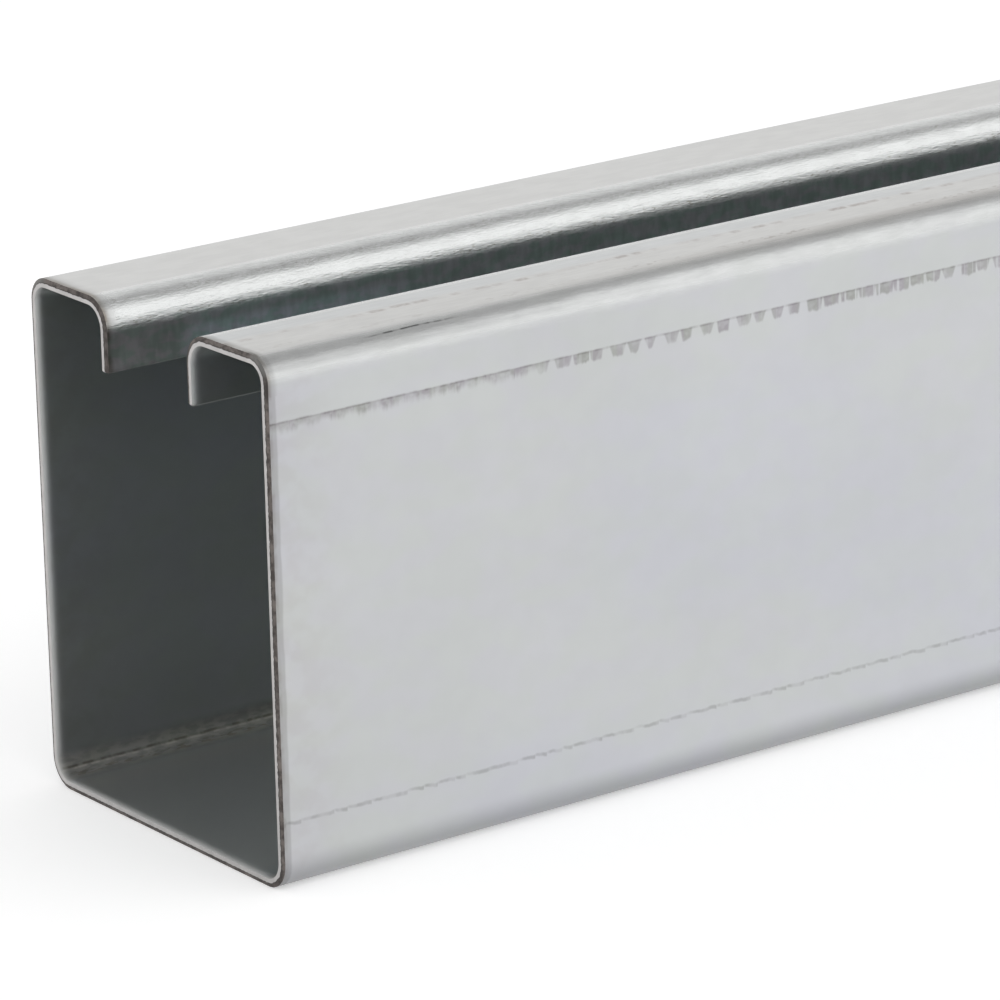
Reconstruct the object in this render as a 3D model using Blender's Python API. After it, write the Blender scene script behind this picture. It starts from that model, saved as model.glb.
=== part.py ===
# Box rail for a sliding door: one length of galvanised steel strip, roll formed into a box
# section that is open along a slot, with the strip's edges turned into the box as two lips.
#
# Metres, +Z up. The rail lies along X on its flat back, with the slot upwards.
# The origin is on the floor, under the middle of the rail.

import math

import bmesh
import bpy

# Driving dimensions of the rail
RAIL_LENGTH = 1.829
RAIL_WIDTH = 0.048
RAIL_HEIGHT = 0.062
SHEET_THICKNESS = 0.0012

# The slot between the lips, and how far each lip reaches down from its flange's outer face
SLOT_WIDTH = 0.0162
LIP_HEIGHT = 0.0085

# How far each flange leans down towards the slot, where the rolls left it a little open
FLANGE_DROOP = math.radians(0.35)

# Inner radii of the bends: back to wall, wall to flange, flange to lip
BACK_BEND_RADIUS = 0.0023
SHOULDER_BEND_RADIUS = 0.0019
LIP_BEND_RADIUS = 0.0024

# The cut-off die shears the strip from the inside out. It draws the inner edge down, leaves
# a flat burnished land, and tears the outer part of the thickness back at a slope.
ROLLOVER_LENGTH = 0.0016
ROLLOVER_DEPTH = 0.00018
FRACTURE_LENGTH = 0.00022
FRACTURE_DEPTH = 0.00056

# Power of the drawn edge's curve: 1 would be a plain slope, more is steeper beside the land
ROLLOVER_CURVE = 2.6

# Chamfer along both slit edges, which are the lips' free edges
SLIT_CHAMFER = 0.0002

# How finely the round stretches are divided
BEND_SEGMENTS = 12
ROLLOVER_SEGMENTS = 6

# Edges that turn by more than this stay sharp in the shading
SHARP_ANGLE = math.radians(20)

# Finish of the zinc coat
ZINC_COLOUR = (0.56, 0.57, 0.58, 1.0)
ZINC_METALLIC = 0.85
ZINC_ROUGHNESS = 0.42


def clear_scene():
    for scene_object in list(bpy.data.objects):
        bpy.data.objects.remove(scene_object, do_unlink=True)


def section_corners(lip_height):
    """Corners (y, z) of the section's outer faces, from one lip's free edge to the other's."""
    wall = RAIL_WIDTH / 2
    lip = SLOT_WIDTH / 2
    lip_top = RAIL_HEIGHT - (wall - lip) * math.tan(FLANGE_DROOP)
    near_half = [(lip, lip_top - lip_height), (lip, lip_top), (wall, RAIL_HEIGHT), (wall, 0.0)]
    far_half = [(-y, z) for y, z in reversed(near_half)]
    return near_half + far_half


def bend_radii():
    """Outer radius of the bend at each inner corner of the section, in the same order."""
    half = [LIP_BEND_RADIUS, SHOULDER_BEND_RADIUS, BACK_BEND_RADIUS]
    return [radius + SHEET_THICKNESS for radius in half + half[::-1]]


def direction(start, end):
    run = (end[0] - start[0], end[1] - start[1])
    length = math.hypot(*run)
    return run[0] / length, run[1] / length


def bend_points(before, corner, after, outer_radius, depth):
    """Arc at this depth below the outer skin, round the corner's bend, which turns clockwise."""
    arriving = direction(before, corner)
    leaving = direction(corner, after)
    turn = math.acos(arriving[0] * leaving[0] + arriving[1] * leaving[1])
    tangent_length = outer_radius * math.tan(turn / 2)
    inward = (arriving[1], -arriving[0])
    centre_y = corner[0] - arriving[0] * tangent_length + inward[0] * outer_radius
    centre_z = corner[1] - arriving[1] * tangent_length + inward[1] * outer_radius
    radius = outer_radius - depth
    points = []
    for step in range(BEND_SEGMENTS + 1):
        angle = turn * step / BEND_SEGMENTS
        points.append((
            centre_y - radius * (inward[0] * math.cos(angle) - arriving[0] * math.sin(angle)),
            centre_z - radius * (inward[1] * math.cos(angle) - arriving[1] * math.sin(angle)),
        ))
    return points


def skin(depth, lip_height):
    """Line (y, z) through the bent sheet at this depth below its outer skin, edge to edge."""
    corners = section_corners(lip_height)
    points = [(corners[0][0] + depth, corners[0][1])]
    for index, outer_radius in enumerate(bend_radii(), start=1):
        before, corner, after = corners[index - 1:index + 2]
        points.extend(bend_points(before, corner, after, outer_radius, depth))
    points.append((corners[-1][0] - depth, corners[-1][1]))
    return points


def sheared_edge():
    """Form of a cut end, as (distance back from the end, depth below the outer skin)."""
    form = [(FRACTURE_LENGTH, 0.0), (0.0, FRACTURE_DEPTH)]
    for step in range(ROLLOVER_SEGMENTS + 1):
        share = step / ROLLOVER_SEGMENTS
        drawn = ROLLOVER_DEPTH * (1 - share) ** ROLLOVER_CURVE
        form.append((ROLLOVER_LENGTH * share, SHEET_THICKNESS - drawn))
    return form


def lengthwise_section():
    """Corners (x, depth) of the strip cut along its length: both ends and both skins."""
    edge = sheared_edge()
    far_end = [(RAIL_LENGTH / 2 - setback, depth) for setback, depth in edge]
    near_end = [(-RAIL_LENGTH / 2 + setback, depth) for setback, depth in reversed(edge)]
    return far_end + near_end


def strip_line(x, depth):
    """One line of the strip's surface, from slit edge to slit edge, chamfered at both."""
    flat_height = LIP_HEIGHT - SLIT_CHAMFER
    line = [(x, y, z) for y, z in skin(depth, flat_height)]
    edge_x = x * (1 - 2 * SLIT_CHAMFER / RAIL_LENGTH)
    edge_depth = SLIT_CHAMFER + depth * (1 - 2 * SLIT_CHAMFER / SHEET_THICKNESS)
    edges = skin(edge_depth, LIP_HEIGHT)
    return [(edge_x, *edges[0])] + line + [(edge_x, *edges[-1])]


def zinc_material():
    material = bpy.data.materials.new("galvanised_steel")
    material.use_nodes = True
    shader = material.node_tree.nodes["Principled BSDF"]
    shader.inputs["Base Color"].default_value = ZINC_COLOUR
    shader.inputs["Metallic"].default_value = ZINC_METALLIC
    shader.inputs["Roughness"].default_value = ZINC_ROUGHNESS
    return material


def box_rail():
    """The bent strip: lines from slit edge to slit edge, bridged all round the sheet."""
    form = bmesh.new()
    lines = []
    for x, depth in lengthwise_section():
        lines.append([form.verts.new(point) for point in strip_line(x, depth)])
    for line, next_line in zip(lines, lines[1:] + lines[:1]):
        for index in range(len(line) - 1):
            form.faces.new((line[index], line[index + 1], next_line[index + 1], next_line[index]))
    form.faces.new([line[0] for line in lines])
    form.faces.new([line[-1] for line in reversed(lines)])
    bmesh.ops.recalc_face_normals(form, faces=form.faces)

    mesh = bpy.data.meshes.new("box_rail")
    form.to_mesh(mesh)
    form.free()
    mesh.materials.append(zinc_material())
    mesh.shade_smooth()
    mesh.set_sharp_from_angle(angle=SHARP_ANGLE)
    rail = bpy.data.objects.new("box_rail", mesh)
    bpy.context.scene.collection.objects.link(rail)
    return rail


clear_scene()
box_rail()
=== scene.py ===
import math

import bpy
import numpy as np
from mathutils import Matrix, Vector

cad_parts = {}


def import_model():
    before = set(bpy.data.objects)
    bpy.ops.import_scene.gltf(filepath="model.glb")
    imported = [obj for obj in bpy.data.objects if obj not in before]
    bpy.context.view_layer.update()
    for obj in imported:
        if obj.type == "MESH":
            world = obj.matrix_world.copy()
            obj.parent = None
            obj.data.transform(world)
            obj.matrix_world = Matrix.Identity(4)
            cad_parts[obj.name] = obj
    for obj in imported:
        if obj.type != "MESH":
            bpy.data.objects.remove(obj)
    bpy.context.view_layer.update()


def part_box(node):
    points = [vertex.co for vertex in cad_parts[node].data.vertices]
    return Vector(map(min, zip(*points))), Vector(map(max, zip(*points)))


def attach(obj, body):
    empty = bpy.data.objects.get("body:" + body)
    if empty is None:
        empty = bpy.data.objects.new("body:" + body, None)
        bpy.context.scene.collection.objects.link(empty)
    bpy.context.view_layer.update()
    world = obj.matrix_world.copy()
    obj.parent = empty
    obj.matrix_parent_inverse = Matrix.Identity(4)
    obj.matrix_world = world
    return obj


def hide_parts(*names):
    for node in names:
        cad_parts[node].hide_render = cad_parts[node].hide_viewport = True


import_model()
CAD_LOW, CAD_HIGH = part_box("box_rail")

# Sizes in metres. The length, width and height follow the frame, whose box ends at the
# shoulders' crowns, a little below the corners that the section is drawn from.
RAIL_LENGTH = CAD_HIGH.x - CAD_LOW.x
RAIL_WIDTH = CAD_HIGH.y - CAD_LOW.y
SHEET_THICKNESS = 0.0012
SLOT_WIDTH = 0.0162
LIP_HEIGHT = 0.0085
FLANGE_DROOP = math.radians(0.35)
BACK_BEND_RADIUS = 0.0023
SHOULDER_BEND_RADIUS = 0.0019
LIP_BEND_RADIUS = 0.0024
SHOULDER_OUTER_RADIUS = SHOULDER_BEND_RADIUS + SHEET_THICKNESS
SHOULDER_SAG = SHOULDER_OUTER_RADIUS * (math.tan(FLANGE_DROOP) + 1 / math.cos(FLANGE_DROOP) - 1)
RAIL_HEIGHT = CAD_HIGH.z - CAD_LOW.z + SHOULDER_SAG

# Form of the sheared ends and of the slit edges. The drawn edge's curve is a power: 1 would be
# a plain slope, more is steeper beside the land.
ROLLOVER_LENGTH = 0.0016
ROLLOVER_DEPTH = 0.00018
ROLLOVER_CURVE = 2.6
FRACTURE_LENGTH = 0.00022
FRACTURE_DEPTH = 0.00056
SLIT_CHAMFER = 0.0002

# How much lower the section is at a cut end, where the strip has sprung, and over what length
END_DROP = 0.00036
END_DROP_LENGTH = 0.15

# How finely the piece is divided: its bends, its drawn edges, its flats across the strip, and
# the distances from an end at which its long skins are divided
BEND_SEGMENTS = 20
ROLLOVER_SEGMENTS = 8
FLAT_STEP = 0.0012
ROW_DISTANCES = [0.002, 0.005, 0.01, 0.02, 0.035, 0.05, 0.065, 0.08, 0.095, 0.11, 0.13, 0.15, 0.4]

# Edges that turn by more than this stay sharp in the shading
SHARP_ANGLE = math.radians(20)

# Camera: place relative to the middle of the back's near end, and the way it looks
CAMERA_AZIMUTH = math.radians(-36.23232)
CAMERA_ELEVATION = math.radians(17.27024)
CAMERA_ROLL = math.radians(-1.36706)
CAMERA_PLACE = Vector((-0.33708, -0.52635, 0.23343))
CAMERA_LENS = 208.885
CAMERA_SENSOR = 36.0
CAMERA_CLIP = 0.05, 50.0

# The floor, and how much is added to it where it is seen, so that it is white there
FLOOR_REACH = 12.0
FLOOR_COLOUR = (0.88, 0.88, 0.88, 1)
FLOOR_LIFT = 0.34

# Light of the studio: overhead, from the sides and behind, and from the front
OVERHEAD_LEVEL = 0.49
SIDE_LEVEL = 0.94
FRONT_LEVEL = 1.22

# Where the marks lie, in metres: heights on the walls, and distances from a wall's outer face
# on the flanges
TOOTHED_LINE_HEIGHT = 0.05473
DASHED_LINE_HEIGHT = 0.00826
FLANGE_DASH_DISTANCE = 0.00853
SHOULDER_SPOT_DISTANCE = 0.0040
SCRATCH_DISTANCE = 0.0019

# Sizes of the marks in millimetres, which the patterns work in
MM = 1000.0
TOOTH_PITCH = 2.63
TOOTH_DEPTH = 1.35
FLANGE_DASH_PITCH = 2.9
TOOTHED_LINE_WANDER = 0.13
FLANGE_DASH_WANDER = 0.30
WANDER_LENGTH = 65
WANDER_START = -0.815
CUT_DULL_WIDTH = 1.08

# How far the right half's patterns are moved along, so that the two sides differ
NOISE_SHIFT = 517.0
CELL_SHIFT = 731.0
DASH_SHIFT = 87.0

# Parts of the thickness at which the torn part of a cut end begins and has its dark edge
TORN_PART = 0.43, 0.48
TORN_EDGE_PART = 0.415

# Relief in metres on the bends: short drawn-out lines, and longer waves
LIP_LINES = 0.000015
LIP_WAVES = 0.000024
SHOULDER_LINES = 0.0000025
SHOULDER_WAVES = 0.000007

# Roughness and metallic of each finish
ZINC_ROUGHNESS, ZINC_METALLIC = 0.30, 0.96
GRIPPED_ROUGHNESS = 0.38
SHOULDER_ROUGHNESS = 0.26
LIP_BEND_ROUGHNESS = 0.23
LIP_FOOT_ROUGHNESS = 0.34
LEAST_ROUGHNESS = 0.20
LIP_METALLIC = 0.94
INNER_METALLIC = 0.94
CUT_ROUGHNESS, CUT_METALLIC = 0.40, 0.88
DRAWN_ROUGHNESS, DRAWN_METALLIC = 0.60, 0.20
LAND_ROUGHNESS, LAND_METALLIC = 0.32, 0.95
TORN_ROUGHNESS, TORN_METALLIC = 0.70, 0.30

# Colours of the zinc and of the bare steel. Casts are pairs that clouds mix.
WALL_CASTS = (0.565, 0.576, 0.580, 1), (0.558, 0.569, 0.591, 1)
INNER_CASTS = (0.590, 0.622, 0.616, 1), (0.588, 0.618, 0.636, 1)
LIP_CASTS = (0.490, 0.588, 0.560, 1), (0.610, 0.630, 0.655, 1)
SHOULDER_ZINC = (0.598, 0.607, 0.600, 1)
LEFT_FLANGE_ZINC = (0.636, 0.636, 0.625, 1)
RIGHT_FLANGE_ZINC = (0.598, 0.596, 0.583, 1)
FLANGE_EDGE_ZINC = (0.590, 0.603, 0.606, 1)
# Zinc of the lip bends, made lighter in part as a painted highlight
LIP_BEND_ZINC_AND_HIGHLIGHT = (0.715, 0.727, 0.722, 1)
INNER_BACK_ZINC = (0.622, 0.624, 0.610, 1)
# Painted glint along the inner creases
CREASE_PAINTED_GLINT = (0.62, 0.585, 0.52, 1)
DRAWN_STEEL = (0.65, 0.645, 0.635, 1)
LAND_STEEL = (0.475, 0.462, 0.455, 1)
TORN_CASTS = (0.060, 0.051, 0.047, 1), (0.150, 0.131, 0.121, 1)
TORN_SHOULDER = (0.27, 0.275, 0.265, 1)
TORN_EDGE = (0.02, 0.02, 0.02, 1)

# Tints, which multiply the colour under them
CLOUD_TINTS = (0.992, 1.0, 0.988, 1), (0.995, 0.988, 1.012, 1)
NEAR_CUT_TINT = (0.93, 0.915, 0.905, 1)
CUT_DULL_TINT = (0.80, 0.795, 0.79, 1)
CUT_SMEAR_TINT = (0.50, 0.45, 0.40, 1)
# Painted shade on the outer back bends, where they turn towards the floor
BACK_BEND_PAINTED_SHADE = (0.70, 0.70, 0.70, 1)
GRIPPED_TINTS = (0.64, 0.635, 0.605, 1), (0.645, 0.605, 0.63, 1)
TOOTHED_LINE_TINT = (0.62, 0.60, 0.60, 1)
DASHED_LINE_TINT = (0.74, 0.735, 0.73, 1)
# Painted light on the flange before the lip bends, and a painted shade line at the bends' top
LIP_PAINTED_LIGHT_TINT = (1.06, 1.06, 1.06, 1)
LIP_PAINTED_SHADE_TINT = (0.80, 0.80, 0.80, 1)
LIP_BLUE_TINT = (1.30, 1.34, 1.40, 1)
LIP_BROWN_TINT = (0.93, 0.87, 0.86, 1)
# Painted shade flecks along the edges of the lip bend's highlight
FLECK_PAINTED_SHADE = (0.56, 0.54, 0.50, 1)
# Painted shade and a painted highlight on the right shoulder
SHOULDER_NEAR_PAINTED_SHADE = (0.80, 0.80, 0.80, 1)
SHOULDER_PAINTED_HIGHLIGHT = (1.13, 1.13, 1.13, 1)
SHOULDER_FAR_PAINTED_SHADE = (0.945, 0.945, 0.94, 1)
FLANGE_DASH_TINT = (0.64, 0.585, 0.57, 1)
# Brown stain beside the right shoulder, and painted shade there
SHOULDER_STAIN_AND_SHADE_TINT = (0.68, 0.65, 0.63, 1)
SCRATCH_TINT = (0.25, 0.25, 0.25, 1)
BURR_TINT = (0.42, 0.415, 0.40, 1)
# Painted shade at the foot of the inner walls
INNER_FOOT_PAINTED_SHADE = (0.76, 0.75, 0.74, 1)
CREASE_TINTS = (0.56, 0.55, 0.52, 1), (0.69, 0.67, 0.62, 1)
# Painted shade line along the inner creases
CREASE_PAINTED_SHADE = (0.56, 0.54, 0.50, 1)
CREASE_STAIN_TINT = (0.70, 0.62, 0.56, 1)


def section_corners(lip_height):
    """Corners (y, z) of the section's outer faces, from one lip's free edge to the other's."""
    wall = RAIL_WIDTH / 2
    lip = SLOT_WIDTH / 2
    lip_top = RAIL_HEIGHT - (wall - lip) * math.tan(FLANGE_DROOP)
    near_half = [(lip, lip_top - lip_height), (lip, lip_top), (wall, RAIL_HEIGHT), (wall, 0.0)]
    far_half = [(-y, z) for y, z in reversed(near_half)]
    return near_half + far_half


def bend_radii():
    """Outer radius of the bend at each inner corner of the section, in the same order."""
    half = [LIP_BEND_RADIUS, SHOULDER_BEND_RADIUS, BACK_BEND_RADIUS]
    return [radius + SHEET_THICKNESS for radius in half + half[::-1]]


def direction(start, end):
    run = (end[0] - start[0], end[1] - start[1])
    length = math.hypot(*run)
    return run[0] / length, run[1] / length


def bend_points(before, corner, after, outer_radius, depth):
    """Arc at this depth below the outer skin, round the corner's bend, which turns clockwise."""
    arriving = direction(before, corner)
    leaving = direction(corner, after)
    turn = math.acos(arriving[0] * leaving[0] + arriving[1] * leaving[1])
    tangent_length = outer_radius * math.tan(turn / 2)
    inward = (arriving[1], -arriving[0])
    centre_y = corner[0] - arriving[0] * tangent_length + inward[0] * outer_radius
    centre_z = corner[1] - arriving[1] * tangent_length + inward[1] * outer_radius
    radius = outer_radius - depth
    points = []
    for step in range(BEND_SEGMENTS + 1):
        angle = turn * step / BEND_SEGMENTS
        points.append((
            centre_y - radius * (inward[0] * math.cos(angle) - arriving[0] * math.sin(angle)),
            centre_z - radius * (inward[1] * math.cos(angle) - arriving[1] * math.sin(angle)),
        ))
    return points


def flat_counts():
    """How many steps each flat stretch is divided into, the same at every depth."""
    corners = section_corners(LIP_HEIGHT)
    radii = [0.0] + bend_radii() + [0.0]
    counts = []
    for index in range(len(corners) - 1):
        length = math.dist(corners[index], corners[index + 1]) - radii[index] - radii[index + 1]
        counts.append(max(2, round(length / FLAT_STEP)))
    return counts


FLAT_COUNTS = flat_counts()


def flat_points(start, end, count):
    """Points that divide a flat stretch, without its ends."""
    return [
        tuple(a + (b - a) * step / count for a, b in zip(start, end))
        for step in range(1, count)
    ]


def skin(depth, lip_height):
    """Line (y, z) through the bent sheet at this depth below its outer skin, edge to edge."""
    corners = section_corners(lip_height)
    bends = [
        bend_points(*corners[index - 1:index + 2], outer_radius, depth)
        for index, outer_radius in enumerate(bend_radii(), start=1)
    ]
    first = (corners[0][0] + depth, corners[0][1])
    last = (corners[-1][0] - depth, corners[-1][1])
    points = [first]
    for count, stretch in zip(FLAT_COUNTS, bends + [[last]]):
        points += flat_points(points[-1], stretch[0], count) + stretch
    return points


def sheared_edge():
    """Form of a cut end, as (distance back from the end, depth below the outer skin)."""
    form = [(FRACTURE_LENGTH, 0.0), (0.0, FRACTURE_DEPTH)]
    for step in range(ROLLOVER_SEGMENTS + 1):
        share = step / ROLLOVER_SEGMENTS
        drawn = ROLLOVER_DEPTH * (1 - share) ** ROLLOVER_CURVE
        form.append((ROLLOVER_LENGTH * share, SHEET_THICKNESS - drawn))
    return form


def lengthwise_section():
    """Corners (x, depth) of the strip cut along its length: both ends and both skins."""
    half = RAIL_LENGTH / 2
    edge = sheared_edge()
    far_end = [(half - setback, depth) for setback, depth in edge]
    inner = [(half - distance, SHEET_THICKNESS) for distance in ROW_DISTANCES]
    inner += [(0.0, SHEET_THICKNESS)]
    inner += [(distance - half, SHEET_THICKNESS) for distance in reversed(ROW_DISTANCES)]
    near_end = [(setback - half, depth) for setback, depth in reversed(edge)]
    outer = sorted((-x, 0.0) for x, _ in inner)
    return far_end + inner + near_end + outer


def strip_line(x, depth):
    """One line of the strip's surface, from slit edge to slit edge, chamfered at both."""
    flat_height = LIP_HEIGHT - SLIT_CHAMFER
    line = [(x, y, z) for y, z in skin(depth, flat_height)]
    edge_x = x * (1 - 2 * SLIT_CHAMFER / RAIL_LENGTH)
    edge_depth = SLIT_CHAMFER + depth * (1 - 2 * SLIT_CHAMFER / SHEET_THICKNESS)
    edges = skin(edge_depth, LIP_HEIGHT)
    return [(edge_x, *edges[0])] + line + [(edge_x, *edges[-1])]


def sprung(point):
    """A point of the straight strip, moved up where the section has its full height."""
    x, y, z = point
    share = min(1.0, (RAIL_LENGTH / 2 - abs(x)) / END_DROP_LENGTH)
    return x, y, z * (1 + END_DROP / RAIL_HEIGHT * share ** 2 * (3 - 2 * share))


# The line halfway through the sheet, and the distance of each of its points from the middle of
# the back, along the unbent sheet. Every pattern is placed by this developed distance.
MIDDLE_LINE = np.array(strip_line(0.0, SHEET_THICKNESS / 2))
MIDDLE_STEPS = [math.dist(a, b) for a, b in zip(MIDDLE_LINE[:, 1:], MIDDLE_LINE[1:, 1:])]
DEVELOPED = np.concatenate([[0.0], np.cumsum(MIDDLE_STEPS)])
DEVELOPED -= DEVELOPED[-1] / 2


def developed_on_wall(height):
    """Developed distance in mm at a height on the wall."""
    off_wall = np.abs(MIDDLE_LINE[:, 1] + RAIL_WIDTH / 2 - SHEET_THICKNESS / 2)
    wall = (DEVELOPED > 0) & (off_wall < 1e-7)
    return float(np.interp(height, MIDDLE_LINE[wall, 2], DEVELOPED[wall])) * MM


def developed_on_flange(inset):
    """Developed distance in mm on the flange, at a distance from the wall's outer face."""
    flange = (DEVELOPED > 0) & (MIDDLE_LINE[:, 2] > RAIL_HEIGHT * 0.9)
    y = inset - RAIL_WIDTH / 2
    return float(np.interp(y, MIDDLE_LINE[flange, 1], DEVELOPED[flange])) * MM


def bend_middle(corner):
    """Developed distance in mm of the middle of a bend, counted from the slit edge."""
    start = 1 + sum(FLAT_COUNTS[:corner + 1]) + BEND_SEGMENTS * corner
    return abs(DEVELOPED[start + BEND_SEGMENTS // 2]) * MM


LIP, SHOULDER, BACK = (bend_middle(corner) for corner in range(3))


class Graph:
    """Short calls that build a tree of nodes."""

    def __init__(self, tree):
        self.tree = tree
        self.tree.nodes.clear()

    def node(self, kind, inputs=(), **settings):
        made = self.tree.nodes.new(kind)
        for name, value in settings.items():
            setattr(made, name, value)
        for key, value in dict(inputs).items():
            self.put(made.inputs[key], value)
        return made

    def put(self, socket, value):
        if isinstance(value, bpy.types.NodeSocket):
            self.tree.links.new(value, socket)
        elif value is not None:
            socket.default_value = value

    def math(self, operation, first, second=None, third=None):
        made = self.node("ShaderNodeMath", operation=operation)
        for index, value in enumerate((first, second, third)):
            self.put(made.inputs[index], value)
        return made.outputs[0]

    def add(self, *values):
        total = values[0]
        for value in values[1:]:
            total = self.math("ADD", total, value)
        return total

    def times(self, *values):
        product = values[0]
        for value in values[1:]:
            product = self.math("MULTIPLY", product, value)
        return product

    def ramp(self, value, start, end, low=0.0, high=1.0, smooth=True):
        """Runs from low at start to high at end, and holds them beyond."""
        made = self.node(
            "ShaderNodeMapRange",
            {"Value": value, "From Min": start, "From Max": end, "To Min": low, "To Max": high},
            interpolation_type="SMOOTHSTEP" if smooth else "LINEAR",
        )
        return made.outputs["Result"]

    def band(self, value, middle, half_width, softness):
        """1 within half_width of middle, falling to 0 over softness."""
        off = self.math("ABSOLUTE", self.math("SUBTRACT", value, middle))
        return self.ramp(off, half_width, half_width + softness, 1.0, 0.0)

    def noise(self, kind, place, detail, roughness=0.5):
        """Noise whose features are about one unit of the place apart."""
        made = self.node(
            "ShaderNodeTexNoise",
            {"Scale": 1.0, "Detail": detail, "Roughness": roughness},
            noise_dimensions=kind,
        )
        self.put(made.inputs["W" if kind == "1D" else "Vector"], place)
        return made.outputs["Fac"]

    def mix(self, factor, first, second):
        """Mixes two numbers."""
        made = self.node("ShaderNodeMix", data_type="FLOAT")
        self.put(made.inputs[0], factor)
        self.put(made.inputs[2], first)
        self.put(made.inputs[3], second)
        return made.outputs[0]

    def blend(self, factor, first, second, mode="MIX"):
        """Mixes two colours."""
        made = self.node("ShaderNodeMix", data_type="RGBA", blend_type=mode)
        self.put(made.inputs[0], factor)
        self.put(made.inputs[6], first)
        self.put(made.inputs[7], second)
        return made.outputs[2]

    def tint(self, factor, colour, tint):
        """Multiplies a colour by a tint where the factor is 1."""
        return self.blend(factor, colour, tint, "MULTIPLY")

    def shade(self, colour, level):
        """Multiplies a colour by a number."""
        grey = self.node("ShaderNodeCombineXYZ", {"X": level, "Y": level, "Z": level})
        return self.tint(1.0, colour, grey.outputs[0])


class Strip:
    """Fields that every pattern on the strip reads, in millimetres.

    along is the distance from the near end and to_end the one from the nearer end, off is the
    developed distance, depth is 0 at the outer skin and 1 at the inner, and right is 1 on the
    right half.
    """

    def __init__(self, graph):
        self.graph = graph
        source = graph.node("ShaderNodeAttribute", attribute_name="strip").outputs["Vector"]
        self.place = self.scaled(source, (MM, MM, 0.0))
        self.along, across, _ = graph.node("ShaderNodeSeparateXYZ", {0: self.place}).outputs
        self.depth = graph.node("ShaderNodeSeparateXYZ", {0: source}).outputs[2]
        self.off = graph.math("ABSOLUTE", across)
        self.right = graph.math("GREATER_THAN", across, 0.0)
        from_far = graph.math("SUBTRACT", RAIL_LENGTH * MM, self.along)
        self.to_end = graph.math("MINIMUM", self.along, from_far)

    def scaled(self, vector, factors):
        made = self.graph.node("ShaderNodeVectorMath", operation="MULTIPLY")
        self.graph.put(made.inputs[0], vector)
        self.graph.put(made.inputs[1], factors)
        return made.outputs[0]

    def grain(self, length, width, detail=1.0, roughness=0.5):
        """Noise whose features are about length long and width wide."""
        place = self.scaled(self.place, (1.0 / length, 1.0 / width, 0.0))
        return self.graph.noise("2D", place, detail, roughness)

    def along_noise(self, length, detail=1.0, shift=0.0):
        """Noise that changes only lengthwise, and differs between the two sides."""
        side = self.graph.times(self.right, NOISE_SHIFT)
        place = self.graph.add(self.along, side, shift)
        return self.graph.noise("1D", self.graph.times(place, 1.0 / length), detail)

    def cells(self, pitch, irregular, shift=0.0):
        """Distance from the nearest of a row of points, and three random numbers each."""
        graph = self.graph
        place = graph.add(self.along, graph.times(self.right, CELL_SHIFT), shift)
        voronoi = graph.node(
            "ShaderNodeTexVoronoi",
            {"W": place, "Scale": 1.0 / pitch, "Randomness": irregular},
            voronoi_dimensions="1D",
        )
        numbers = graph.node("ShaderNodeSeparateColor", {0: voronoi.outputs["Color"]}).outputs
        return graph.times(voronoi.outputs["Distance"], pitch), numbers

    def wander(self, reach):
        """Slow drift to and fro of a mark's place across the strip."""
        graph = self.graph
        angle = graph.math("MULTIPLY_ADD", self.along, 1 / WANDER_LENGTH, WANDER_START)
        return graph.times(graph.math("SINE", angle), reach)


def comb_zone(strip):
    """1 where the rolls left a ragged fringe, 0 where they left separate blocks."""
    graph = strip.graph
    near_end = graph.ramp(strip.along, 35.0, 39.0, 1.0, 0.0)
    farther = graph.ramp(strip.along_noise(150.0, 0.0, 260.0), 0.58, 0.60)
    farther = graph.times(farther, graph.ramp(strip.along, 120.0, 140.0))
    return graph.math("MAXIMUM", near_end, farther)


def blocks(strip, below):
    """Separate blocks, wide at the top, that the rolls' teeth pressed into the zinc."""
    graph = strip.graph
    off_tooth, chance = strip.cells(TOOTH_PITCH, 0.28)
    merged = graph.ramp(strip.along, 74.0, 84.0)
    half_width = graph.math("MULTIPLY_ADD", chance[0], 0.40, 0.84)
    half_width = graph.add(half_width, graph.times(merged, 0.22))
    taper = graph.math("MULTIPLY_ADD", chance[1], 0.36, 0.12)
    half_width = graph.math("SUBTRACT", half_width, graph.times(taper, below))
    off_edge = graph.math("SUBTRACT", off_tooth, half_width)
    block = graph.ramp(off_edge, -0.16, 0.16, 1.0, 0.0)
    ragged = graph.math("MULTIPLY_ADD", strip.along_noise(0.9, 2.0, 19.0), 0.6, -0.30)
    bottom = graph.add(graph.math("MULTIPLY_ADD", chance[2], 0.25, TOOTH_DEPTH - 0.12), ragged)
    ended = graph.ramp(graph.math("SUBTRACT", below, bottom), -0.26, 0.14, 1.0, 0.0)
    slit = graph.ramp(strip.along_noise(0.8, 1.0), 0.56, 0.66)
    slits = graph.math("SUBTRACT", 1.0, graph.times(slit, graph.mix(merged, 0.30, 0.85)))
    worn = graph.ramp(strip.grain(1.1, 0.9), 0.28, 0.60, 0.72, 1.0)
    strength = graph.ramp(chance[1], 0.0, 1.0, 1.0, 0.72, smooth=False)
    return graph.times(block, ended, slits, worn, strength)


def fringe(strip, below):
    """Soft ragged patches that hang from the line, with a few strokes in them."""
    graph = strip.graph
    reach = graph.ramp(strip.along_noise(2.6, 1.0, 90.0), 0.34, 0.62, 1.0, 1.55)
    comb = graph.ramp(strip.along_noise(0.5, 2.0, 61.0), 0.36, 0.66, 1.0, 0.86)
    depth = graph.math("SUBTRACT", below, graph.times(reach, comb))
    hanging = graph.ramp(depth, -1.0, 0.16, 1.0, 0.0)
    strength = graph.ramp(strip.along_noise(3.2, 1.0, 71.0), 0.34, 0.60, 0.60, 1.0)
    cloudy = graph.ramp(strip.grain(0.9, 0.8, 1.0), 0.28, 0.60, 0.62, 1.0)
    stroke = graph.ramp(strip.along_noise(0.45, 1.0, 140.0), 0.66, 0.74, 1.0, 1.35)
    return graph.times(hanging, strength, cloudy, stroke)


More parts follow.
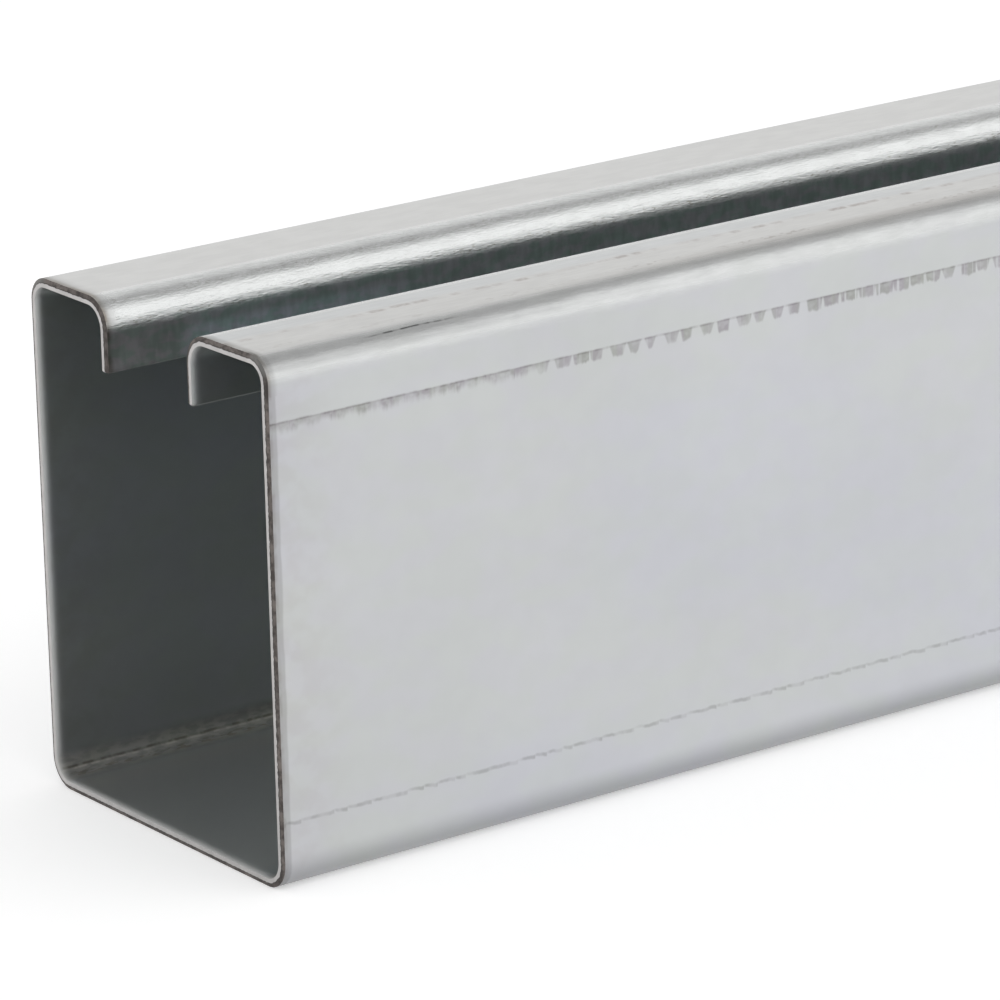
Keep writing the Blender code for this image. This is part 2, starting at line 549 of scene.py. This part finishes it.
def roll_marks(strip):
    """The smudges on the wall where the rolls gripped the zinc, and the line above them."""
    graph = strip.graph
    middle = developed_on_wall(TOOTHED_LINE_HEIGHT)
    line_place = graph.add(strip.wander(TOOTHED_LINE_WANDER), middle)
    below = graph.math("SUBTRACT", line_place, strip.off)
    zone = comb_zone(strip)
    smudge = graph.mix(zone, blocks(strip, below), fringe(strip, below))
    smudge = graph.times(smudge, graph.ramp(below, -0.05, 0.06))
    uneven = graph.math("MULTIPLY_ADD", strip.along_noise(5.0, 2.0, 11.0), 0.12, -0.06)
    line = graph.band(graph.add(below, uneven), 0.06, 0.04, 0.20)
    strength = graph.ramp(strip.along_noise(1.6, 2.0, 23.0), 0.36, 0.62, 0.25, 1.0)
    return smudge, graph.times(line, strength, graph.mix(zone, 0.58, 0.66))


def dashed_line(strip):
    """The lower line on the wall: slim wedge-shaped dashes, one after another."""
    graph = strip.graph
    shifted = graph.add(strip.along, graph.times(strip.right, DASH_SHIFT))
    jitter = graph.times(graph.noise("1D", graph.times(shifted, 0.12), 1.0), 2.5)
    phase = graph.math("FRACT", graph.add(graph.times(shifted, 0.33), jitter))
    place = developed_on_wall(DASHED_LINE_HEIGHT)
    middle = graph.math("MULTIPLY_ADD", phase, -0.18, place + 0.09)
    uneven = graph.math("MULTIPLY_ADD", strip.along_noise(1.6, 2.0, 5.0), 0.40, -0.20)
    off_line = graph.math("SUBTRACT", strip.off, graph.add(middle, uneven))
    off_line = graph.math("ABSOLUTE", off_line)
    half_width = graph.math("MULTIPLY_ADD", phase, 0.09, 0.03)
    line = graph.ramp(graph.math("SUBTRACT", off_line, half_width), -0.02, 0.26, 1.0, 0.0)
    gap = graph.ramp(phase, 0.0, 0.22, 0.40, 1.0)
    strength = graph.ramp(strip.along_noise(2.2, 2.0, 59.0), 0.34, 0.62, 0.40, 1.0)
    return graph.times(line, gap, strength)


def flange_dashes(strip):
    """A row of short dark blotches along the right flange, a few strong and most faint."""
    graph = strip.graph
    off_blotch, chance = strip.cells(FLANGE_DASH_PITCH, 0.6, 12.0)
    row = graph.add(strip.wander(FLANGE_DASH_WANDER), developed_on_flange(FLANGE_DASH_DISTANCE))
    place = graph.math("MULTIPLY_ADD", chance[1], 0.30, -0.15)
    off_row = graph.math("ABSOLUTE", graph.add(graph.math("SUBTRACT", strip.off, row), place))
    spread = graph.math("MULTIPLY_ADD", chance[0], 0.95, 0.55)
    long = graph.ramp(graph.math("SUBTRACT", off_blotch, spread), -0.45, 0.25, 1.0, 0.0)
    slim = graph.ramp(off_row, 0.10, 0.72, 1.0, 0.0)
    strength = graph.ramp(chance[2], 0.15, 0.95, 0.22, 1.0, smooth=False)
    strength = graph.times(strength, graph.ramp(strip.along, 6.0, 70.0, 0.9, 1.25))
    worn = graph.ramp(strip.grain(0.6, 0.4), 0.35, 0.60, 0.45, 1.0)
    return graph.times(long, slim, strength, worn, strip.right)


def shoulder_stain_and_shade(strip):
    """Brownish stain patches on the flange beside the shoulder, and a band of painted shade that
    they sit in, stronger farther along.
    """
    graph = strip.graph
    row = developed_on_flange(SHOULDER_SPOT_DISTANCE)
    patch = graph.ramp(strip.grain(1.3, 0.7, 2.0), 0.50, 0.61)
    near = graph.band(strip.off, row - 0.15, 0.25, 0.65)
    amount = graph.ramp(strip.along_noise(14.0, 1.0, 4.0), 0.38, 0.60, 0.35, 1.0)
    spots = graph.times(patch, near, amount, graph.ramp(strip.along, 15.0, 80.0, 0.25, 1.0))
    # Painted shade: a band on the flange beside the shoulder, stronger farther along
    shade = graph.band(strip.off, row - 1.1, 0.30, 1.7)
    shade = graph.times(shade, graph.ramp(strip.along, 15.0, 105.0, 0.05, 0.60))
    return graph.times(graph.math("MAXIMUM", spots, shade), strip.right)


def scratch(strip):
    """One hairline scratch in the right shoulder, near the near end."""
    graph = strip.graph
    place = graph.math("MULTIPLY_ADD", strip.along_noise(7.0, 1.0, 31.0), 0.24, -0.12)
    row = developed_on_flange(SCRATCH_DISTANCE)
    line = graph.band(graph.add(strip.off, place), row, 0.02, 0.13)
    starting = graph.ramp(strip.along, 13.0, 18.0)
    ending = graph.ramp(strip.along, 21.0, 29.0, 1.0, 0.0)
    broken = graph.ramp(strip.along_noise(1.2, 2.0, 77.0), 0.36, 0.56, 0.3, 1.0)
    return graph.times(line, starting, ending, broken, strip.right)


def zinc_clouds(strip, casts):
    """Cloudy zinc between two casts, a little duller and browner beside the cut ends."""
    graph = strip.graph
    colour = graph.blend(graph.ramp(strip.grain(45.0, 30.0), 0.35, 0.65), *casts)
    hue = graph.ramp(strip.grain(7.0, 4.0), 0.35, 0.65)
    colour = graph.tint(1.0, colour, graph.blend(hue, *CLOUD_TINTS))
    cloud = graph.ramp(strip.grain(28.0, 20.0, 3.0), 0.30, 0.70, 0.985, 1.015)
    mottle = graph.ramp(strip.grain(3.6, 3.0, 2.0), 0.30, 0.70, 0.993, 1.007)
    farther = graph.ramp(strip.to_end, 10.0, 110.0, 0.98, 1.013)
    colour = graph.shade(colour, graph.times(cloud, mottle, farther))
    blotch = graph.ramp(strip.grain(3.4, 2.8, 2.0), 0.35, 0.65, 0.35, 1.0)
    dull = graph.times(graph.ramp(strip.to_end, 0.0, 13.0, 1.0, 0.0), blotch)
    return graph.tint(dull, colour, NEAR_CUT_TINT)


def cut_dulled(strip, soft):
    """1 on the narrow zone beside a cut that the die rubbed dull, fading over soft mm."""
    graph = strip.graph
    uneven = graph.math("MULTIPLY_ADD", strip.grain(1.6, 3.5), 0.24, -0.12)
    off_cut = graph.add(strip.to_end, uneven)
    return graph.ramp(off_cut, CUT_DULL_WIDTH - soft / 2, CUT_DULL_WIDTH + soft, 1.0, 0.0)


def cut_stain(strip, colour, dulled, strength, reach=0.85, patchy=0.25):
    """The dull zone beside a cut, and brown smears that reach this many mm from its torn edge."""
    graph = strip.graph
    colour = graph.tint(dulled, colour, CUT_DULL_TINT)
    smear = graph.ramp(strip.grain(1.4, 2.4, 2.0), 0.40, 0.64, patchy, 1.0)
    smear = graph.times(graph.ramp(strip.to_end, 0.25, reach, strength, 0.0), smear)
    return graph.tint(smear, colour, CUT_SMEAR_TINT)


def new_material(name):
    material = bpy.data.materials.new(name)
    material.use_nodes = True
    return material, Graph(material.node_tree)


def finish_with(graph, colour, metallic, rough, height=None):
    """The material's shader, with a relief where a height is given."""
    bump = None
    if height is not None:
        bump = graph.node("ShaderNodeBump", {"Strength": 1.0, "Distance": 1.0, "Height": height})
        bump = bump.outputs[0]
    shader = graph.node(
        "ShaderNodeBsdfPrincipled",
        {"Base Color": colour, "Metallic": metallic, "Roughness": rough, "Normal": bump},
    )
    graph.node("ShaderNodeOutputMaterial", {"Surface": shader.outputs[0]})


def wall_zinc():
    """Outer skin of the walls and the back, with the lines that the rolls left on the walls."""
    material, graph = new_material("zinc_wall")
    strip = Strip(graph)
    colour = zinc_clouds(strip, WALL_CASTS)
    # Painted shade: the outer back bends darker towards the floor
    back_bend_shade = graph.ramp(strip.off, 23.2, 26.2, 1.0, 0.0)
    back_bend_shade = graph.times(back_bend_shade, graph.ramp(strip.off, 18.0, 20.5))
    colour = graph.tint(back_bend_shade, colour, BACK_BEND_PAINTED_SHADE)
    smudge, line = roll_marks(strip)
    hue = graph.ramp(strip.along_noise(2.2, 1.0, 15.0), 0.40, 0.60)
    colour = graph.tint(smudge, colour, graph.blend(hue, *GRIPPED_TINTS))
    colour = graph.tint(line, colour, TOOTHED_LINE_TINT)
    colour = graph.tint(dashed_line(strip), colour, DASHED_LINE_TINT)
    dulled = cut_dulled(strip, 0.2)
    colour = cut_stain(strip, colour, dulled, 0.42)
    rough = graph.math(
        "MAXIMUM",
        graph.mix(smudge, ZINC_ROUGHNESS, GRIPPED_ROUGHNESS),
        graph.mix(dulled, ZINC_ROUGHNESS, CUT_ROUGHNESS),
    )
    finish_with(graph, colour, graph.mix(dulled, ZINC_METALLIC, CUT_METALLIC), rough)
    return material


class Top:
    """Where the parts of the strip's top lie: 1 on each and 0 off it."""

    def __init__(self, strip):
        graph = strip.graph
        self.past_wall = graph.ramp(strip.off, SHOULDER - 2.2, SHOULDER - 1.0)
        self.shoulder = graph.band(strip.off, SHOULDER, 1.2, 1.0)
        self.flange = graph.band(strip.off, (LIP + SHOULDER) / 2, 4.6, 1.2)
        self.lip_bend = graph.band(strip.off, LIP, 1.7, 1.2)
        # The lip's colour begins raggedly and later farther along, so the lighter bend colour,
        # partly painted highlight, reaches farther onto the lip
        ragged = graph.math("MULTIPLY_ADD", strip.grain(0.8, 0.25, 3.0, 0.65), 1.4, -0.70)
        farther = graph.ramp(strip.along, 30.0, 90.0, 0.0, -0.35)
        self.lip = graph.ramp(graph.add(strip.off, ragged, farther), LIP + 1.65, LIP + 2.65)
        self.lip_foot = graph.band(strip.off, LIP + 2.1, 0.4, 0.7)


def lip_zinc(strip):
    """Greenish and bluish zinc of the lips' faces, with painted shade that darkens them towards
    their bends, browner at a cut.
    """
    graph = strip.graph
    patches = graph.ramp(strip.grain(2.6, 1.5, 3.0), 0.38, 0.62)
    colour = graph.blend(patches, *LIP_CASTS)
    # Painted shade: the lip faces darker towards their bends; darker again at the slit edge
    lower = graph.ramp(strip.off, LIP + 2.4, LIP + 6.4, 0.72, 1.22, smooth=False)
    edge = graph.ramp(strip.off, LIP + 6.6, LIP + 7.4, 1.0, 0.78)
    colour = graph.shade(colour, graph.times(lower, edge))
    colour = graph.shade(colour, graph.ramp(strip.grain(1.1, 3.2, 2.0), 0.30, 0.70, 0.92, 1.08))
    bluer = graph.ramp(strip.along, 32.0, 48.0, 1.0, 0.0)
    bluer = graph.times(graph.ramp(strip.along, 8.0, 14.0), bluer)
    bluer = graph.times(bluer, graph.ramp(strip.off, LIP + 3.1, LIP + 4.2))
    colour = graph.tint(bluer, colour, LIP_BLUE_TINT)
    return graph.tint(graph.ramp(strip.along, 9.0, 14.0, 1.0, 0.0), colour, LIP_BROWN_TINT)


def top_ground(strip, top):
    """Zinc of the shoulders, flanges and lips, with the streaks that the rolls drew in it."""
    graph = strip.graph
    colour = zinc_clouds(strip, WALL_CASTS)
    colour = graph.blend(graph.times(top.past_wall, 0.8), colour, SHOULDER_ZINC)
    flange_zinc = graph.blend(strip.right, LEFT_FLANGE_ZINC, RIGHT_FLANGE_ZINC)
    colour = graph.blend(top.flange, colour, flange_zinc)
    cool = graph.times(graph.band(strip.off, LIP - 4.0, 0.8, 1.4), strip.right)
    colour = graph.blend(cool, colour, FLANGE_EDGE_ZINC)
    # Lighter zinc on the lip bend, partly a painted highlight
    colour = graph.blend(top.lip_bend, colour, LIP_BEND_ZINC_AND_HIGHLIGHT)
    # Painted light before the lip bend, and a painted shade line where the bend begins
    colour = graph.tint(graph.band(strip.off, LIP - 1.75, 0.5, 0.5), colour, LIP_PAINTED_LIGHT_TINT)
    colour = graph.tint(graph.band(strip.off, LIP - 0.38, 0.1, 0.7), colour, LIP_PAINTED_SHADE_TINT)
    colour = graph.blend(top.lip, colour, lip_zinc(strip))
    fine = graph.ramp(strip.grain(3.5, 0.45, 3.0, 0.6), 0.25, 0.75, -0.035, 0.035)
    fine = graph.times(fine, graph.ramp(strip.off, SHOULDER - 2.6, SHOULDER - 1.2))
    fine = graph.times(fine, graph.mix(strip.right, 0.45, 1.0))
    soft = graph.ramp(strip.grain(5.0, 2.2, 2.0), 0.3, 0.7, -0.025, 0.025)
    # The right flange a little darker nearer than 30 to 50 mm from the near end
    darker_near = graph.times(top.flange, strip.right, graph.ramp(strip.along, 30.0, 50.0, -0.02, 0.0))
    return graph.shade(colour, graph.add(1.0, fine, graph.times(soft, top.past_wall), darker_near))


def lip_fleck_shade(strip):
    """Small dark flecks of painted shade along both edges of the lip bend's highlight."""
    graph = strip.graph
    flecks = graph.ramp(strip.grain(0.9, 0.16, 2.0, 0.6), 0.57, 0.68)
    lower = graph.band(strip.off, LIP + 1.9, 0.15, 0.5)
    upper = graph.times(graph.band(strip.off, LIP - 0.6, 0.1, 0.7), 0.45)
    amount = graph.ramp(strip.grain(5.0, 1.2), 0.38, 0.55, 0.25, 1.0)
    return graph.times(flecks, graph.math("MAXIMUM", lower, upper), amount)


def shoulder_painted_light(strip, colour):
    """The right shoulder: painted shade near the near end, and farther on a painted highlight
    beside painted shade.
    """
    graph = strip.graph
    nearer = graph.times(graph.ramp(strip.along, 22.0, 55.0, 1.0, 0.0), strip.right)
    farther = graph.times(graph.ramp(strip.along, 28.0, 50.0), strip.right)
    # Painted shade near the near end, then a painted highlight and painted shade farther along
    near_shade = graph.times(graph.band(strip.off, SHOULDER - 0.35, 0.2, 0.6), nearer)
    colour = graph.tint(near_shade, colour, SHOULDER_NEAR_PAINTED_SHADE)
    painted_highlight = graph.times(graph.band(strip.off, SHOULDER + 0.25, 0.15, 0.40), farther)
    colour = graph.tint(painted_highlight, colour, SHOULDER_PAINTED_HIGHLIGHT)
    far_shade = graph.times(graph.band(strip.off, SHOULDER + 1.4, 0.25, 0.50), farther)
    return graph.tint(far_shade, colour, SHOULDER_FAR_PAINTED_SHADE)


def shoulder_burr(strip):
    """Smear of the tear onto the flange, beside the right shoulder."""
    graph = strip.graph
    near = graph.times(graph.band(strip.off, SHOULDER + 2.0, 0.5, 0.8), strip.right)
    return graph.times(near, graph.ramp(strip.to_end, 0.40, 0.85, 0.9, 0.0))


def top_relief(strip, top):
    """Height in metres of the zinc that is drawn out on the bends."""
    graph = strip.graph
    lines = graph.ramp(strip.grain(0.9, 0.17, 3.0, 0.65), 0.2, 0.8, -1.0, 1.0, smooth=False)
    waves = graph.ramp(strip.grain(3.2, 0.8, 2.0), 0.2, 0.8, -1.0, 1.0, smooth=False)
    relief = []
    for pattern, on_lip_bend, on_shoulder in (
        (lines, LIP_LINES, SHOULDER_LINES), (waves, LIP_WAVES, SHOULDER_WAVES),
    ):
        reach = graph.add(
            graph.times(top.lip_bend, on_lip_bend), graph.times(top.shoulder, on_shoulder)
        )
        relief.append(graph.times(pattern, reach))
    return graph.add(*relief)


def top_zinc():
    """Outer skin of the shoulders, flanges and lips, where the zinc is drawn out on the bends."""
    material, graph = new_material("zinc_top")
    strip = Strip(graph)
    top = Top(strip)
    colour = top_ground(strip, top)
    colour = graph.tint(lip_fleck_shade(strip), colour, FLECK_PAINTED_SHADE)
    colour = shoulder_painted_light(strip, colour)
    colour = graph.tint(flange_dashes(strip), colour, FLANGE_DASH_TINT)
    colour = graph.tint(shoulder_stain_and_shade(strip), colour, SHOULDER_STAIN_AND_SHADE_TINT)
    colour = graph.tint(scratch(strip), colour, SCRATCH_TINT)
    dulled = graph.mix(strip.right, cut_dulled(strip, 1.3), cut_dulled(strip, 0.5))
    dulled = graph.times(dulled, graph.mix(top.lip, 1.0, 0.25))
    strength = graph.mix(strip.right, 1.0, 0.7)
    reach = graph.mix(strip.right, 1.15, 0.85)
    patchy = graph.mix(strip.right, 0.6, 0.25)
    colour = cut_stain(strip, colour, dulled, strength, reach, patchy)
    colour = graph.tint(shoulder_burr(strip), colour, BURR_TINT)
    rough = graph.math(
        "MAXIMUM",
        graph.mix(top.lip_bend, ZINC_ROUGHNESS, LIP_BEND_ROUGHNESS),
        graph.mix(dulled, LEAST_ROUGHNESS, CUT_ROUGHNESS),
    )
    lip_foot = graph.mix(top.lip_foot, LEAST_ROUGHNESS, LIP_FOOT_ROUGHNESS)
    rough = graph.math("MAXIMUM", rough, lip_foot)
    rough = graph.math("MINIMUM", rough, graph.mix(top.shoulder, 1.0, SHOULDER_ROUGHNESS))
    metallic = graph.math(
        "MINIMUM",
        graph.mix(top.lip, ZINC_METALLIC, LIP_METALLIC),
        graph.mix(dulled, 1.0, CUT_METALLIC),
    )
    finish_with(graph, colour, metallic, rough, top_relief(strip, top))
    return material


def inner_ground(strip):
    """Zinc of the inner skin: painted light deeper inside, a little darker higher up, and painted
    shade at the foot of the walls.
    """
    graph = strip.graph
    colour = zinc_clouds(strip, INNER_CASTS)
    colour = graph.blend(graph.ramp(strip.off, 17.0, 21.0, 1.0, 0.0), colour, INNER_BACK_ZINC)
    # Painted light deeper inside the channel
    painted_light_deeper = graph.ramp(strip.to_end, 5.0, 62.0, 0.99, 1.22)
    higher = graph.ramp(strip.off, 52.0, 70.0, 1.0, 0.90)
    colour = graph.shade(colour, graph.times(painted_light_deeper, higher))
    # Painted shade at the foot of the inner walls, above the crease
    painted_foot_shade = graph.ramp(strip.off, 24.0, 40.0, 1.0, 0.0)
    painted_foot_shade = graph.times(graph.ramp(strip.off, 19.5, 23.0), painted_foot_shade)
    return graph.tint(painted_foot_shade, colour, INNER_FOOT_PAINTED_SHADE)


def crease_marks_and_light(strip, colour, crease):
    """Scuffs in the inner creases: mottled darker, with a painted glint, a painted shade line and
    brown stain patches.
    """
    graph = strip.graph
    mottled = graph.ramp(strip.grain(1.8, 0.9, 2.0), 0.36, 0.62)
    colour = graph.tint(crease, colour, graph.blend(mottled, *CREASE_TINTS))
    uneven = graph.math("MULTIPLY_ADD", strip.along_noise(3.0, 2.0, 3.0), 0.24, -0.12)
    off = graph.add(strip.off, uneven)
    # Painted glint along the crease
    painted_glint = graph.ramp(strip.along_noise(1.8, 2.0, 9.0), 0.40, 0.60, 0.25, 1.0)
    painted_glint = graph.times(graph.band(off, BACK, 0.02, 0.30), painted_glint, 0.35)
    colour = graph.blend(painted_glint, colour, CREASE_PAINTED_GLINT)
    # Painted shade line just beside the crease
    dark = graph.ramp(strip.along_noise(2.2, 2.0, 13.0), 0.40, 0.58, 0.35, 1.0)
    dark = graph.times(graph.band(off, BACK + 0.34, 0.05, 0.28), dark)
    colour = graph.tint(dark, colour, CREASE_PAINTED_SHADE)
    brown = graph.ramp(strip.grain(1.6, 0.6, 2.0), 0.50, 0.62)
    brown = graph.times(graph.band(off, BACK - 1.1, 0.25, 0.60), brown, 0.6)
    return graph.tint(brown, colour, CREASE_STAIN_TINT)


def inner_zinc():
    """Inner skin: a little greener, with scuffs, a painted glint and painted shade in the creases,
    and drawn steel at the cuts.
    """
    material, graph = new_material("zinc_inside")
    strip = Strip(graph)
    crease = graph.band(strip.off, BACK, 1.5, 1.7)
    colour = crease_marks_and_light(strip, inner_ground(strip), crease)
    drawn = graph.ramp(strip.to_end, 0.0, 1.55, 1.0, 0.0, smooth=False)
    drawn = graph.math("POWER", drawn, 3.2)
    on_lip = graph.ramp(strip.off, LIP + 1.2, LIP + 2.6)
    drawn = graph.times(drawn, graph.mix(on_lip, 1.0, 0.5))
    colour = graph.blend(drawn, colour, DRAWN_STEEL)
    metallic = graph.mix(drawn, INNER_METALLIC, DRAWN_METALLIC)
    rough = graph.mix(graph.math("MAXIMUM", crease, drawn), ZINC_ROUGHNESS, DRAWN_ROUGHNESS)
    finish_with(graph, colour, metallic, rough)
    return material


def torn_steel(strip, boundary):
    """Colour of the torn part: dark, greyer round the shoulders, and darkest at the land."""
    graph = strip.graph
    dark = graph.ramp(strip.grain(0.3, 1.1, 2.0, 0.6), 0.3, 0.7)
    colour = graph.blend(dark, *TORN_CASTS)
    colour = graph.shade(colour, graph.ramp(strip.grain(3.0, 6.0), 0.35, 0.65, 0.80, 1.30))
    greyer = graph.times(graph.band(strip.off, SHOULDER + 0.5, 0.9, 1.0), 0.45)
    colour = graph.blend(greyer, colour, TORN_SHOULDER)
    edge = graph.times(graph.band(boundary, TORN_EDGE_PART, 0.02, 0.05), 0.6)
    return graph.blend(edge, colour, TORN_EDGE)


def sheared_steel():
    """Bare steel of the cut ends: a burnished land, and the dark torn part of the thickness."""
    material, graph = new_material("sheared_steel")
    strip = Strip(graph)
    uneven = graph.ramp(strip.grain(0.5, 0.7, 2.0), 0.25, 0.75, -0.05, 0.05, smooth=False)
    boundary = graph.add(strip.depth, uneven)
    torn = graph.ramp(boundary, *TORN_PART, 1.0, 0.0)
    bright = graph.ramp(strip.grain(0.5, 2.5), 0.3, 0.7, 0.92, 1.04)
    land = graph.shade(LAND_STEEL, bright)
    colour = graph.blend(torn, land, torn_steel(strip, boundary))
    metallic = graph.mix(torn, LAND_METALLIC, TORN_METALLIC)
    rough = graph.mix(torn, LAND_ROUGHNESS, TORN_ROUGHNESS)
    finish_with(graph, colour, metallic, rough)
    return material


# Material slots of the strip, and the developed distance in metres at which the top's begins
WALL, TOP, INNER, SHEARED = range(4)
TOP_START = 0.0788


def finish_of(depths, off):
    """Material slot of a face between two depths, at a developed distance."""
    if depths[0] != depths[1] and max(depths) <= SHEET_THICKNESS - ROLLOVER_DEPTH:
        return SHEARED
    if max(depths) > 0:
        return INNER
    return TOP if off > TOP_START else WALL


def strip_faces(section):
    """Faces that bridge the lines all round the sheet, and the material slot of each."""
    columns = len(DEVELOPED)
    rows = len(section)
    faces = []
    finishes = []
    for row in range(rows):
        following = (row + 1) % rows
        depths = section[row][1], section[following][1]
        for column in range(columns - 1):
            faces.append((
                row * columns + column,
                row * columns + column + 1,
                following * columns + column + 1,
                following * columns + column,
            ))
            off = abs(DEVELOPED[column] + DEVELOPED[column + 1]) / 2
            finishes.append(finish_of(depths, off))
    first_cap = [row * columns for row in range(rows)]
    last_cap = [row * columns + columns - 1 for row in reversed(range(rows))]
    return faces + [first_cap, last_cap], finishes + [SHEARED, SHEARED]


def box_rail():
    """The strip as one closed mesh: lines from slit edge to slit edge, bridged round the sheet."""
    section = lengthwise_section()
    points = [sprung(point) for x, depth in section for point in strip_line(x, depth)]
    faces, finishes = strip_faces(section)
    mesh = bpy.data.meshes.new("rail_strip")
    mesh.from_pydata(points, [], faces)
    for material in (wall_zinc(), top_zinc(), inner_zinc(), sheared_steel()):
        mesh.materials.append(material)
    mesh.polygons.foreach_set("material_index", finishes)
    places = mesh.attributes.new("strip", "FLOAT_VECTOR", "POINT")
    values = []
    for x, depth in section:
        for distance in DEVELOPED:
            values += [x + RAIL_LENGTH / 2, distance, depth / SHEET_THICKNESS]
    places.data.foreach_set("vector", values)
    mesh.shade_smooth()
    mesh.set_sharp_from_angle(angle=SHARP_ANGLE)
    piece = bpy.data.objects.new("rail_strip", mesh)
    bpy.context.scene.collection.objects.link(piece)
    return piece


def camera():
    data = bpy.data.cameras.new("camera")
    data.lens = CAMERA_LENS
    data.sensor_width = CAMERA_SENSOR
    data.sensor_fit = "HORIZONTAL"
    data.clip_start, data.clip_end = CAMERA_CLIP
    sin_a, cos_a = math.sin(CAMERA_AZIMUTH), math.cos(CAMERA_AZIMUTH)
    sin_e, cos_e = math.sin(CAMERA_ELEVATION), math.cos(CAMERA_ELEVATION)
    back = Vector((sin_a * cos_e, -cos_a * cos_e, sin_e))
    right = Vector((cos_a, sin_a, 0.0))
    up = back.cross(right)
    cos_r, sin_r = math.cos(CAMERA_ROLL), math.sin(CAMERA_ROLL)
    right, up = right * cos_r + up * sin_r, up * cos_r - right * sin_r
    made = bpy.data.objects.new("camera", data)
    turn = Matrix((right, up, back)).transposed().to_4x4()
    place = Vector((CAD_LOW.x, 0.0, CAD_LOW.z)) + CAMERA_PLACE
    made.matrix_world = Matrix.Translation(place) @ turn
    bpy.context.scene.collection.objects.link(made)
    bpy.context.scene.camera = made


def floor():
    """A pale floor that keeps the rail's shadow, and is white where it is seen."""
    mesh = bpy.data.meshes.new("floor")
    corners = ((-1, -1), (1, -1), (1, 1), (-1, 1))
    points = [(x * FLOOR_REACH, y * FLOOR_REACH, CAD_LOW.z) for x, y in corners]
    mesh.from_pydata(points, [], [(0, 1, 2, 3)])
    material, graph = new_material("pale_floor")
    diffuse = graph.node("ShaderNodeBsdfDiffuse", {"Color": FLOOR_COLOUR})
    path = graph.node("ShaderNodeLightPath").outputs
    seen = graph.math("MAXIMUM", path["Is Camera Ray"], path["Is Glossy Ray"])
    seen = graph.math("MAXIMUM", seen, path["Is Transmission Ray"])
    strength = graph.times(seen, FLOOR_LIFT)
    lift = graph.node("ShaderNodeEmission", {"Color": (1, 1, 1, 1), "Strength": strength})
    both = graph.node("ShaderNodeAddShader", {0: diffuse.outputs[0], 1: lift.outputs[0]})
    graph.node("ShaderNodeOutputMaterial", {"Surface": both.outputs[0]})
    mesh.materials.append(material)
    made = bpy.data.objects.new("floor", mesh)
    bpy.context.scene.collection.objects.link(made)


def world():
    """White where it is seen, and otherwise a studio dimmer overhead and brighter in front."""
    made = bpy.data.worlds.new("studio")
    made.use_nodes = True
    bpy.context.scene.world = made
    graph = Graph(made.node_tree)
    towards = graph.node("ShaderNodeTexCoord").outputs["Generated"]
    parts = graph.node("ShaderNodeSeparateXYZ", {0: towards}).outputs
    level = graph.ramp(parts[2], 0.50, 0.87, SIDE_LEVEL, OVERHEAD_LEVEL)
    level = graph.mix(graph.ramp(parts[1], -0.10, -0.50), level, FRONT_LEVEL)
    path = graph.node("ShaderNodeLightPath").outputs
    seen = graph.math("MAXIMUM", path["Is Camera Ray"], path["Is Transmission Ray"])
    strength = graph.mix(seen, level, 1.0)
    background = graph.node("ShaderNodeBackground", {"Color": (1, 1, 1, 1), "Strength": strength})
    graph.node("ShaderNodeOutputWorld", {"Surface": background.outputs[0]})


rail = box_rail()
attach(rail, "root")
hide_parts("box_rail")
floor()
world()
camera()

scene = bpy.context.scene
scene.view_settings.view_transform = "Standard"
